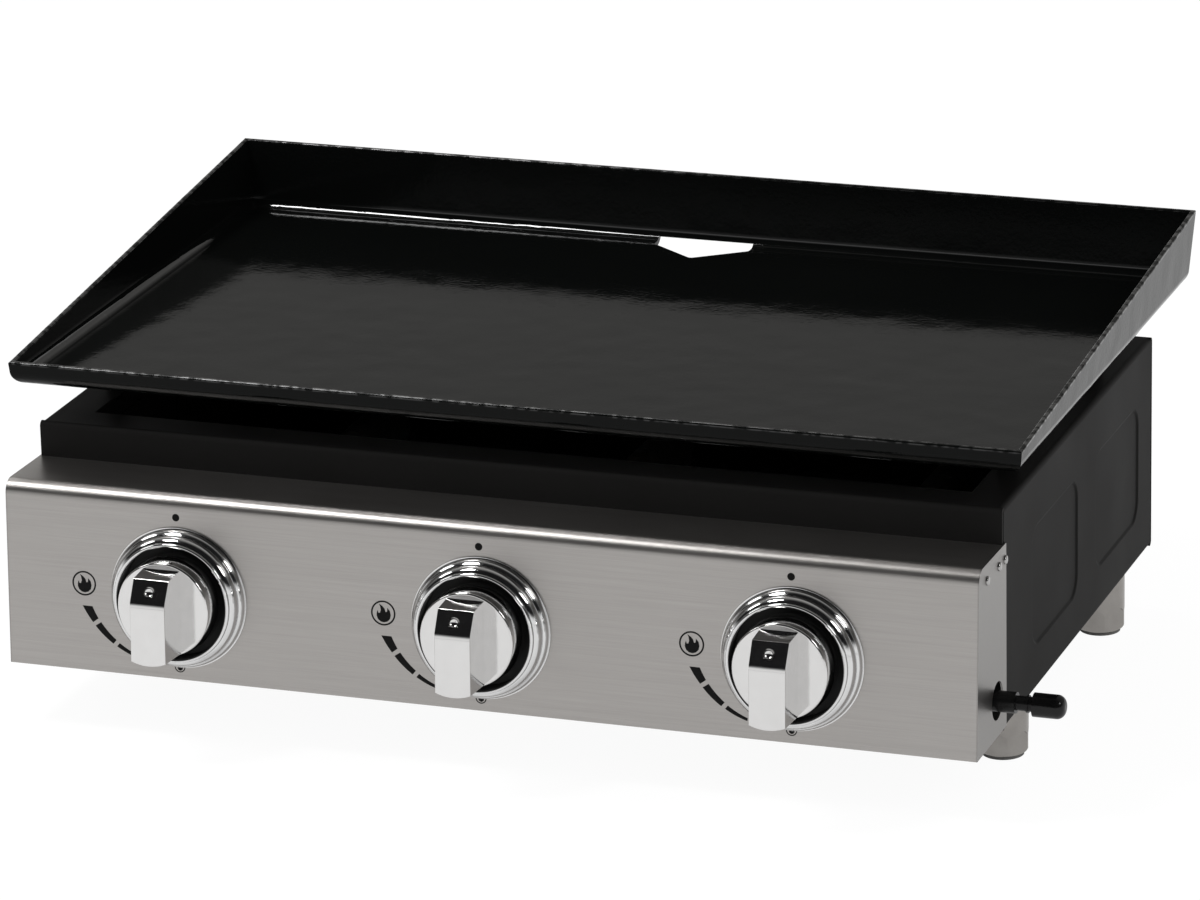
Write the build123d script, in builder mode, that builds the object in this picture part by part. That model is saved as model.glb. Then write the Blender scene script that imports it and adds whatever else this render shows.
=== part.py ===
from build123d import *
from math import atan2, cos, sin, radians, tan
import os

os.makedirs("parts", exist_ok=True)

# Sizes in millimetres. X runs across the front, the front faces -Y, and Z = 0 is the table.

# Firebox
body_width = 572.0
body_depth = 323.0
body_bottom = 35.0
body_top = 165.0
body_sheet = 1.2
body_bend = 3.0
top_flange = 24.0
floor_flange = 32.0
emboss_front_margin = 59.5
emboss_between = 36.0
emboss_rear_margin = 29.5
emboss_top_margin = 31.0
emboss_bottom_margin = 25.0
emboss_corner = 15.0
emboss_sink = 1.0
emboss_slope = 58.0
emboss_edge = 1.6
air_slot_end_margin = 66.5
air_slot_width = 14.0
air_slot_offset = 42.0

# Griddle plate
plate_side_overhang = 12.6
plate_front_overhang = 7.8
plate_back_overhang = 33.5
plate_bottom = 188.0
plate_sheet = 3.0
plate_flare = 5.0
plate_bend = 9.0
lip_top = 202.3
back_wall_top = 233.2
rim_round = 1.0
drain_width = 60.0
drain_reach = 35.5
drain_rise = 1.9
drain_shoulder = 13.0
drain_corner = 3.0
peg_inset_x = 17.0
peg_inset_y = 71.5
peg_radius = 6.0
spigot_radius = 3.5
spigot_length = 7.0

# Control panel
panel_sheet = 1.0
panel_bottom = 37.3
panel_bottom_out = 53.8
panel_top = 145.3
panel_top_out = 48.8
panel_rear_top = 144.3
panel_bend = 8.0
panel_lap = 4.8
panel_return = 15.0
panel_flange = 15.0
panel_screw_inset = 56.0
stem_hole_radius = 10.0
inlet_hole_radius = 11.0
rivet_shank_radius = 1.6
rivet_head_radius = 2.6
rivet_head_height = 1.3
rivet_head_round = 1.0
rivet_drop = 9.0
rivet_front_back = 20.6
rivet_mid_back = 44.3
rivet_rear_back = 56.0

# Knobs and bezels
knob_pitch = 181.6
knob_z = 86.0
knob_radius = 28.5
knob_cheek_radius = 27.3
knob_crest_radius = 26.8
knob_back = 7.0
knob_side = 15.0
knob_cheek = 24.7
knob_cheek_round = 1.2
knob_height = 46.7
knob_bar = 20.8
knob_bar_draft = 1.2
knob_edge_round = 0.6
knob_roll = 5.0
knob_roll_drop = 0.8
knob_facet_start = 10.0
knob_facet_end = 22.0
knob_facet_drop = 6.3
knob_bar_root = 23.6
knob_hub_radius = 9.0
knob_wall = 2.4
knob_pocket_depth = 11.0
knob_bore_end = 24.0
dimple_radius = 3.6
dimple_depth = 2.2
bezel_radius = 41.2
bezel_inner_radius = 33.0
bezel_floor = 1.2
bezel_lip = 0.6
bezel_groove = 0.4
bezel_outer_mid_in = 1.1
bezel_outer_mid_height = 3.9
bezel_outer_in = 2.6
bezel_outer_height = 5.8
bezel_middle_mid_in = 3.7
bezel_middle_mid_height = 8.9
bezel_middle_in = 6.0
bezel_middle_height = 11.2
bezel_crest_in = 7.3
bezel_crest_height = 12.8
bezel_inner_height = 12.4
bezel_bore_radius = 12.0
bezel_screw_offset = 19.0

# Taps, all measured along the knob axis from the face of the panel
push_travel = 4.0
stem_radius = 4.0
stem_flat = 2.6
stem_flat_start = 5.0
stem_tail = 5.0
stem_tail_end = 32.0
stem_collar_radius = 6.0
stem_collar_length = 1.5
bonnet_length = 3.0
bonnet_half_width = 25.0
bonnet_half_height = 11.0
bonnet_corner = 9.5
plug_radius = 7.0
plug_front = 20.0
plug_back = 38.0
tap_back = 41.0
tap_half_width = 12.0
tap_half_height = 12.0
tap_cradle = 4.0
tap_boss_radius = 7.0
tap_boss_back = 50.0
tap_leg_half_width = 10.0
tap_leg_half_depth = 11.5
tap_leg_top = 6.0
spring_wire_radius = 0.45
spring_radius = 5.3
spring_turns = 5.0
piezo_radius = 6.0
piezo_front = 8.0
piezo_back = 36.0
piezo_rise = 19.0
spud_shank_radius = 2.5
spud_hex_radius = 4.6
spud_hex_length = 3.0
spud_nose_radius = 3.2
spud_nose_length = 5.0
spud_jet_radius = 0.5

# Gas pipe and inlet
pipe_out = 13.4
pipe_z = 58.4
pipe_radius = 6.0
pipe_bore_radius = 4.5
pipe_end_wall = 1.5
pipe_left_past_tap = 24.0
pipe_stub = 12.0
clamp_depth = 9.0
clamp_split = 0.6
clamp_screw_offset = 8.7
clamp_head_radius = 3.0
inlet_spigot = 8.0
inlet_neck_radius = 4.2
inlet_neck = 6.0
inlet_collar_radius = 5.0
inlet_collar = 1.2
inlet_throat = 2.6
inlet_thread_radius = 5.0
inlet_thread = 14.5
inlet_bore_radius = 2.5
cap_wall = 1.5
cap_end_wall = 3.6
cap_end_round = 5.0

# Burners and ignition
burner_radius = 14.0
burner_wall = 1.0
burner_end_gap = 43.5
burner_tab = 22.0
burner_tab_half_width = 9.0
port_count = 14
port_first = 61.5
port_last = 10.0
port_width = 1.4
port_length = 13.0
rail_sheet = 1.5
rail_depth = 26.0
rail_side_gap = 26.0
electrode_offset = 24.0
electrode_radius = 3.5
electrode_collar_radius = 6.0
electrode_collar = 3.0
electrode_front = 16.5
electrode_back = 31.0
rod_radius = 1.2
rod_lead_out = 6.0
rod_reach = 18.0
rod_tip_in = 11.0
rod_tip_forward = 8.0
rod_tip_drop = 5.0
lead_radius = 1.25
lead_sink = 2.0

# Feet
foot_inset_x = 16.0
foot_inset_y = 57.0
foot_radius = 14.5
foot_flat = 13.0
foot_flat_width = 14.0
foot_flat_side = 9.5
foot_flat_top = 14.5
foot_bottom_round = 2.5
foot_top_round = 1.6
pad_thickness = 2.0
stud_radius = 4.0
stud_length = 27.0
nut_across_flats = 13.0
nut_height = 6.5

# Grease cup
cup_width = 90.0
cup_depth = 38.0
cup_height = 38.0
cup_rim = 156.0
cup_sheet = 1.0
cup_stand_off = 2.5
cup_flange = 8.0
cup_lip = 7.0
cup_lip_width = 50.0
rail_ledge = 7.0
rail_tab = 15.0
rail_tab_height = 22.0

# Shared fits
rest_gap = 0.05
slide_gap = 0.3
running_gap = 0.06
screw_radius = 2.0
screw_head_radius = 3.6
screw_head_height = 2.0
screw_past = 2.0
cut_past = 1.0

half_width = body_width / 2
half_depth = body_depth / 2
emboss_length = (body_depth - emboss_front_margin - emboss_between - emboss_rear_margin) / 2
emboss_height = body_top - body_bottom - emboss_top_margin - emboss_bottom_margin
emboss_front_y = -half_depth + emboss_front_margin + emboss_length / 2
emboss_rear_y = half_depth - emboss_rear_margin - emboss_length / 2
emboss_z = body_bottom + emboss_bottom_margin + emboss_height / 2
air_slot_length = body_depth - 2 * air_slot_end_margin
plate_width = body_width + 2 * plate_side_overhang
plate_front = -half_depth - plate_front_overhang
plate_back = half_depth + plate_back_overhang
panel_bottom_y = -half_depth - panel_bottom_out
panel_top_y = -half_depth - panel_top_out
panel_screw_outer = half_width - panel_screw_inset
pipe_y = -half_depth - pipe_out
foot_x = half_width - foot_inset_x
foot_y = half_depth - foot_inset_y
floor_top = body_bottom + 2 * body_sheet
lean = atan2(panel_top_y - panel_bottom_y, panel_top - panel_bottom)
knob_y = panel_bottom_y + (knob_z - panel_bottom) * tan(lean)
knob_axis = Vector(0, -cos(lean), sin(lean))
panel_up = Vector(0, sin(lean), cos(lean))
stations = {"left": -knob_pitch, "mid": 0.0, "right": knob_pitch}
corners = {
    "front_left": (-foot_x, -foot_y),
    "front_right": (foot_x, -foot_y),
    "rear_left": (-foot_x, foot_y),
    "rear_right": (foot_x, foot_y),
}
peg_x = half_width - peg_inset_x
peg_y = half_depth - peg_inset_y
peg_spots = [(-peg_x, -peg_y), (peg_x, -peg_y), (-peg_x, peg_y), (peg_x, peg_y)]
rivet_ys = [panel_bottom_y + back for back in (rivet_front_back, rivet_mid_back, rivet_rear_back)]
rivet_z = panel_rear_top - rivet_drop
pipe_offset = Vector(0, pipe_y - knob_y, pipe_z - knob_z)
pipe_along = pipe_offset.dot(knob_axis)
pipe_up = pipe_offset.dot(panel_up)
jet_tip = tap_boss_back + spud_hex_length + spud_nose_length
burner_z = knob_z - jet_tip * sin(lean)
burner_front = -half_depth
burner_back = half_depth - burner_end_gap
port_pitch = (burner_back - burner_front - port_first - port_last) / (port_count - 1)
port_mid_y = (burner_front + port_first + burner_back - port_last) / 2
rail_length = body_width - 2 * rail_side_gap
piezo_mid_z = knob_z + piezo_rise * cos(lean)
panel_screw_z = panel_rear_top - panel_sheet - panel_flange / 2
panel_screw_xs = [-panel_screw_outer, -knob_pitch / 2, knob_pitch / 2, panel_screw_outer]

# Firebox front: a sheet across the full width, folded back along its top and bottom edges
bend_end_x = half_width - body_bend / 2
bend_end_y = half_depth - body_bend - floor_flange / 2
with BuildPart() as firebox_front:
    with BuildSketch(Plane.YZ):
        with BuildLine():
            FilletPolyline(
                (-half_depth + floor_flange, body_bottom),
                (-half_depth, body_bottom),
                (-half_depth, body_top),
                (-half_depth + top_flange, body_top),
                radius=body_bend,
            )
            offset(amount=body_sheet, side=Side.RIGHT)
        make_face()
    extrude(amount=half_width, both=True)
    with BuildSketch(Plane.XZ.offset(half_depth + cut_past)):
        with Locations([(x, burner_z) for x in stations.values()]):
            Circle(burner_radius)
        with Locations([(x + electrode_offset, piezo_mid_z) for x in stations.values()]):
            Circle(electrode_radius)
        with Locations([(x, panel_screw_z) for x in panel_screw_xs]):
            Circle(screw_radius)
    extrude(amount=-body_sheet - 2 * cut_past, mode=Mode.SUBTRACT)
    with BuildSketch(Plane.XY.offset(body_bottom - cut_past)):
        with Locations((-bend_end_x, -bend_end_y), (bend_end_x, -bend_end_y)):
            Rectangle(body_bend, floor_flange)
    extrude(amount=body_top - body_bottom + 2 * cut_past, mode=Mode.SUBTRACT)
firebox_front.part.label = "firebox_front"
export_step(firebox_front.part, "parts/firebox_front.step")

# Firebox rear: the same sheet turned round, with holes for the cup rails
rail_hole_x = cup_width / 2 + cup_flange + slide_gap + cup_sheet + rail_tab / 2
rail_hole_z = cup_rim + cup_sheet - rail_tab_height / 2
with BuildPart() as firebox_rear:
    with BuildSketch(Plane.YZ):
        with BuildLine():
            FilletPolyline(
                (half_depth - top_flange, body_top),
                (half_depth, body_top),
                (half_depth, body_bottom),
                (half_depth - floor_flange, body_bottom),
                radius=body_bend,
            )
            offset(amount=body_sheet, side=Side.RIGHT)
        make_face()
    extrude(amount=half_width, both=True)
    with BuildSketch(Plane.XZ.offset(-half_depth - cut_past)):
        with Locations((-rail_hole_x, rail_hole_z), (rail_hole_x, rail_hole_z)):
            Circle(screw_radius)
    extrude(amount=body_sheet + 2 * cut_past, mode=Mode.SUBTRACT)
    with BuildSketch(Plane.XY.offset(body_bottom - cut_past)):
        with Locations((-bend_end_x, bend_end_y), (bend_end_x, bend_end_y)):
            Rectangle(body_bend, floor_flange)
    extrude(amount=body_top - body_bottom + 2 * cut_past, mode=Mode.SUBTRACT)
firebox_rear.part.label = "firebox_rear"
export_step(firebox_rear.part, "parts/firebox_rear.step")

# Side panels: between front and rear, with two embossed fields each and flanges top and bottom
with BuildPart() as side_panel_right:
    with BuildSketch(Plane.XZ):
        with BuildLine():
            FilletPolyline(
                (half_width - top_flange, body_top),
                (half_width, body_top),
                (half_width, body_bottom),
                (half_width - floor_flange, body_bottom),
                radius=body_bend,
            )
            offset(amount=body_sheet, side=Side.RIGHT)
        make_face()
    extrude(amount=half_depth - body_bend, both=True)
    for end in (-1, 1):
        with BuildSketch(Plane.XY.offset(body_top - body_sheet)):
            with Locations((half_width - body_bend - top_flange / 2, end * half_depth)):
                Rectangle(top_flange, 2 * top_flange)
        extrude(amount=body_sheet, mode=Mode.SUBTRACT)
        with BuildSketch(Plane.XY.offset(body_bottom)):
            with Locations((half_width - body_bend - floor_flange / 2, end * half_depth)):
                Rectangle(floor_flange, 2 * floor_flange)
        extrude(amount=body_sheet, mode=Mode.SUBTRACT)
    with BuildSketch(Plane.YZ.offset(half_width - body_sheet)):
        with Locations((emboss_front_y, emboss_z), (emboss_rear_y, emboss_z)):
            RectangleRounded(emboss_length, emboss_height, emboss_corner)
    extrude(amount=-emboss_sink)
    with BuildSketch(Plane.YZ.offset(half_width)):
        with Locations((emboss_front_y, emboss_z), (emboss_rear_y, emboss_z)):
            RectangleRounded(
                emboss_length - 2 * body_sheet,
                emboss_height - 2 * body_sheet,
                emboss_corner - body_sheet,
            )
    extrude(amount=-emboss_sink, taper=emboss_slope, mode=Mode.SUBTRACT)
    skin = side_panel_right.faces().filter_by(Axis.X).sort_by(Axis.X)[-1]
    fillet([edge for wire in skin.inner_wires() for edge in wire.edges()], emboss_edge)
    fields = side_panel_right.faces().filter_by(Axis.X).filter_by_position(
        Axis.X, half_width - emboss_sink - rest_gap, half_width - emboss_sink + rest_gap
    )
    fillet(fields.edges(), emboss_edge)
    with BuildSketch(Plane.XY.offset(body_top + cut_past)):
        with Locations(peg_spots):
            Circle(spigot_radius + slide_gap)
    extrude(amount=-body_sheet - 2 * cut_past, mode=Mode.SUBTRACT)
    with BuildSketch(Plane.XY.offset(body_bottom - cut_past)):
        with Locations((foot_x, -foot_y), (foot_x, foot_y)):
            Circle(stud_radius + slide_gap)
    extrude(amount=body_sheet + 2 * cut_past, mode=Mode.SUBTRACT)
    with BuildSketch(Plane.YZ.offset(half_width + cut_past)):
        with Locations((rivet_ys[-1], rivet_z)):
            Circle(rivet_shank_radius)
    extrude(amount=-body_sheet - 2 * cut_past, mode=Mode.SUBTRACT)
side_panel_right.part.label = "side_panel_right"
export_step(side_panel_right.part, "parts/side_panel_right.step")

with BuildPart() as side_panel_left:
    mirror(side_panel_right.part, about=Plane.YZ)
side_panel_left.part.label = "side_panel_left"
export_step(side_panel_left.part, "parts/side_panel_left.step")

# Firebox floor: lies on the bottom flanges, with air slots either side of each burner
with BuildPart() as firebox_floor:
    with BuildSketch(Plane.XY.offset(body_bottom + body_sheet)):
        Rectangle(body_width - 2 * body_bend, body_depth - 2 * body_bend)
        with Locations(list(corners.values())):
            Circle(stud_radius + slide_gap, mode=Mode.SUBTRACT)
        with Locations([(x + side * air_slot_offset, 0) for x in stations.values() for side in (-1, 1)]):
            SlotOverall(air_slot_length, air_slot_width, rotation=90, mode=Mode.SUBTRACT)
    extrude(amount=body_sheet)
firebox_floor.part.label = "firebox_floor"
export_step(firebox_floor.part, "parts/firebox_floor.step")

# Griddle plate: a folded tray with welded corners, whose rim climbs from front lip to back wall
plate_depth = plate_back - plate_front
plate_mid_y = (plate_back + plate_front) / 2
flare_run = tan(radians(plate_flare))
rim_front = plate_front - (lip_top - plate_bottom) * flare_run
rim_back = plate_back + (back_wall_top - plate_bottom) * flare_run
rim_slope = (back_wall_top - lip_top) / (rim_back - rim_front)
trim_reach = 4 * plate_sheet
blank_top = back_wall_top + trim_reach
inner_step = plate_sheet / cos(radians(plate_flare)) - plate_sheet * flare_run
drain_tip = plate_back - drain_reach
with BuildPart() as griddle_plate:
    with BuildSketch(Plane.XY.offset(plate_bottom)):
        with Locations((0, plate_mid_y)):
            Rectangle(plate_width, plate_depth)
    extrude(amount=blank_top - plate_bottom, taper=-plate_flare)
    fillet(griddle_plate.faces().sort_by(Axis.Z)[0].edges(), plate_bend)
    with BuildSketch(Plane.XY.offset(plate_bottom + plate_sheet)):
        with Locations((0, plate_mid_y)):
            Rectangle(plate_width - 2 * inner_step, plate_depth - 2 * inner_step)
    extrude(amount=blank_top - plate_bottom, taper=-plate_flare, mode=Mode.SUBTRACT)
    inner_floor = griddle_plate.faces().filter_by(Axis.Z).sort_by(Axis.Z)[1]
    fillet(inner_floor.edges(), plate_bend - plate_sheet)
    with BuildSketch(Plane.YZ):
        with BuildLine():
            Polyline(
                (rim_front - trim_reach, lip_top - trim_reach * rim_slope),
                (rim_back + trim_reach, back_wall_top + trim_reach * rim_slope),
                (rim_back + trim_reach, blank_top + trim_reach),
                (rim_front - trim_reach, blank_top + trim_reach),
                close=True,
            )
        make_face()
    extrude(amount=plate_width, both=True, mode=Mode.SUBTRACT)
    fillet(griddle_plate.faces().sort_by(Axis.Z)[-1].edges(), rim_round)
    with BuildSketch(Plane.XY.offset(plate_bottom - cut_past)):
        with BuildLine():
            Polyline(
                (-drain_width / 2, plate_back + plate_sheet),
                (-drain_width / 2, plate_back - drain_shoulder),
                (0, drain_tip),
                (drain_width / 2, plate_back - drain_shoulder),
                (drain_width / 2, plate_back + plate_sheet),
                close=True,
            )
        drain_face = make_face()
        fillet(drain_face.vertices().sort_by(Axis.Y)[:3], drain_corner)
    extrude(amount=cut_past + plate_sheet + drain_rise, mode=Mode.SUBTRACT)
griddle_plate.part.label = "griddle_plate"
export_step(griddle_plate.part, "parts/griddle_plate.step")

# Plate pegs: welded under the plate, each with a spigot that drops into the firebox flange
with BuildPart() as plate_pegs:
    with BuildSketch(Plane.XY.offset(body_top + rest_gap)):
        with Locations(peg_spots):
            Circle(peg_radius)
    extrude(amount=plate_bottom - body_top - rest_gap)
    with BuildSketch(Plane.XY.offset(body_top + rest_gap)):
        with Locations(peg_spots):
            Circle(spigot_radius)
    extrude(amount=-spigot_length)
plate_pegs.part.label = "plate_pegs"
export_step(plate_pegs.part, "parts/plate_pegs.step")

# Control panel: folded stainless box, open at the rear and below, lapping the firebox sides
panel_rear = -half_depth + panel_lap
panel_half = half_width + panel_sheet
with BuildPart() as control_panel:
    with BuildSketch(Plane.YZ) as panel_outline:
        with BuildLine():
            Polyline(
                (panel_bottom_y, panel_bottom),
                (panel_top_y, panel_top),
                (panel_rear, panel_rear_top),
                (panel_rear, panel_bottom),
                close=True,
            )
        panel_face = make_face()
        fillet(panel_face.vertices().sort_by(Axis.Y)[-1], panel_bend)
    extrude(amount=panel_half, both=True)
    with BuildSketch(Plane.YZ):
        offset(panel_outline.sketch_local, amount=-panel_sheet)
    extrude(amount=half_width, both=True, mode=Mode.SUBTRACT)
    with BuildSketch(Plane.YZ):
        with Locations(((panel_rear - half_depth) / 2, (panel_top + panel_bottom) / 2)):
            Rectangle(panel_lap, panel_top - panel_bottom + 2 * panel_bend)
        with BuildLine():
            Polyline(
                (panel_bottom_y + panel_return, panel_bottom - cut_past),
                (panel_bottom_y + panel_return, panel_bottom + 2 * panel_sheet),
                (panel_rear, panel_bottom + 2 * panel_sheet),
                (panel_rear, panel_bottom - cut_past),
                close=True,
            )
        make_face()
    extrude(amount=half_width, both=True, mode=Mode.SUBTRACT)
    with BuildSketch(Plane.XZ.offset(half_depth)):
        with Locations((0, panel_rear_top - panel_flange / 2 - panel_sheet / 2)):
            Rectangle(body_width, panel_flange)
    extrude(amount=panel_sheet)
    with BuildSketch(Plane.XZ.offset(half_depth - cut_past)):
        with Locations([(x, panel_screw_z) for x in panel_screw_xs]):
            Circle(screw_radius)
    extrude(amount=panel_sheet + 2 * cut_past, mode=Mode.SUBTRACT)
    for x in stations.values():
        with BuildSketch(Plane((x, knob_y, knob_z), x_dir=(1, 0, 0), z_dir=knob_axis).offset(cut_past)):
            Circle(stem_hole_radius)
            with Locations((-bezel_screw_offset, 0), (bezel_screw_offset, 0)):
                Circle(screw_radius)
        extrude(amount=-panel_sheet - 2 * cut_past, mode=Mode.SUBTRACT)
    with BuildSketch(Plane.YZ.offset(panel_half + cut_past)):
        with Locations((pipe_y, pipe_z)):
            Circle(inlet_hole_radius)
    extrude(amount=-panel_sheet - 2 * cut_past, mode=Mode.SUBTRACT)
    with BuildSketch(Plane.YZ):
        with Locations([(y, rivet_z) for y in rivet_ys]):
            Circle(rivet_shank_radius)
    extrude(amount=panel_half + cut_past, both=True, mode=Mode.SUBTRACT)
control_panel.part.label = "control_panel"
export_step(control_panel.part, "parts/control_panel.step")

# Panel rivets: three in each end plate, the rearmost set into the firebox side, flat against its front
with BuildPart() as panel_rivets:
    for side in (-1, 1):
        for y in rivet_ys:
            seat = Plane((side * panel_half, y, rivet_z), x_dir=(0, 1, 0), z_dir=(side, 0, 0))
            with BuildSketch(seat):
                Circle(rivet_head_radius)
            extrude(amount=rivet_head_height)
            with BuildSketch(seat):
                Circle(rivet_shank_radius)
            extrude(amount=-panel_sheet - body_sheet)
    fillet(panel_rivets.faces().sort_by(Axis.X)[-3:].edges(), rivet_head_round)
    fillet(panel_rivets.faces().sort_by(Axis.X)[:3].edges(), rivet_head_round)
    with BuildSketch(Plane.XZ.offset(half_depth)):
        with Locations((0, rivet_z)):
            Rectangle(body_width, 2 * rivet_head_radius)
    extrude(amount=-body_sheet, mode=Mode.SUBTRACT)
panel_rivets.part.label = "panel_rivets"
export_step(panel_rivets.part, "parts/panel_rivets.step")

# Panel screws: hold the panel's rear flange to the firebox front
with BuildPart() as panel_screws:
    with BuildSketch(Plane.XZ.offset(half_depth + panel_sheet)):
        with Locations([(x, panel_screw_z) for x in panel_screw_xs]):
            Circle(screw_head_radius)
    extrude(amount=screw_head_height)
    with BuildSketch(Plane.XZ.offset(half_depth + panel_sheet)):
        with Locations([(x, panel_screw_z) for x in panel_screw_xs]):
            Circle(screw_radius)
    extrude(amount=-panel_sheet - body_sheet - screw_past)
panel_screws.part.label = "panel_screws"
export_step(panel_screws.part, "parts/panel_screws.step")

# Manifold pipe: one tube behind the panel, shut at its left end
pipe_left = -knob_pitch - pipe_left_past_tap
pipe_right = half_width + pipe_stub
with BuildPart() as manifold_pipe:
    with BuildSketch(Plane.YZ.offset(pipe_left)):
        with Locations((pipe_y, pipe_z)):
            Circle(pipe_radius)
    extrude(amount=pipe_right - pipe_left)
    with BuildSketch(Plane.YZ.offset(pipe_left + pipe_end_wall)):
        with Locations((pipe_y, pipe_z)):
            Circle(pipe_bore_radius)
    extrude(amount=pipe_right - pipe_left, mode=Mode.SUBTRACT)
manifold_pipe.part.label = "manifold_pipe"
export_step(manifold_pipe.part, "parts/manifold_pipe.step")

# Inlet fitting: spigot in the pipe, necked tail with a collar, threaded end for the hose
thread_start = pipe_right + inlet_neck + inlet_collar + inlet_throat
with BuildPart() as inlet_fitting:
    with BuildSketch(Plane.YZ.offset(pipe_right - inlet_spigot)):
        with Locations((pipe_y, pipe_z)):
            Circle(pipe_bore_radius)
    extrude(amount=inlet_spigot)
    with BuildSketch(Plane.YZ.offset(pipe_right)):
        with Locations((pipe_y, pipe_z)):
            Circle(inlet_neck_radius)
    extrude(amount=inlet_neck + inlet_collar + inlet_throat)
    with BuildSketch(Plane.YZ.offset(pipe_right + inlet_neck)):
        with Locations((pipe_y, pipe_z)):
            Circle(inlet_collar_radius)
    extrude(amount=inlet_collar)
    with BuildSketch(Plane.YZ.offset(thread_start)):
        with Locations((pipe_y, pipe_z)):
            Circle(inlet_thread_radius)
    extrude(amount=inlet_thread)
    with BuildSketch(Plane.YZ.offset(pipe_right - inlet_spigot)):
        with Locations((pipe_y, pipe_z)):
            Circle(inlet_bore_radius)
    extrude(amount=thread_start + inlet_thread - pipe_right + inlet_spigot, mode=Mode.SUBTRACT)
inlet_fitting.part.label = "inlet_fitting"
export_step(inlet_fitting.part, "parts/inlet_fitting.step")

# Inlet cap: soft vinyl sleeve with a round end, pushed over the thread
cap_bore_radius = inlet_thread_radius + slide_gap
cap_bore_end = thread_start + inlet_thread + rest_gap
with BuildPart() as inlet_cap:
    with BuildSketch(Plane.YZ.offset(thread_start)):
        with Locations((pipe_y, pipe_z)):
            Circle(cap_bore_radius + cap_wall)
    extrude(amount=cap_bore_end + cap_end_wall - thread_start)
    fillet(inlet_cap.faces().sort_by(Axis.X)[-1].edges(), cap_end_round)
    with BuildSketch(Plane.YZ.offset(thread_start)):
        with Locations((pipe_y, pipe_z)):
            Circle(cap_bore_radius)
    extrude(amount=cap_bore_end - thread_start, mode=Mode.SUBTRACT)
inlet_cap.part.label = "inlet_cap"
export_step(inlet_cap.part, "parts/inlet_cap.step")

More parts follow.
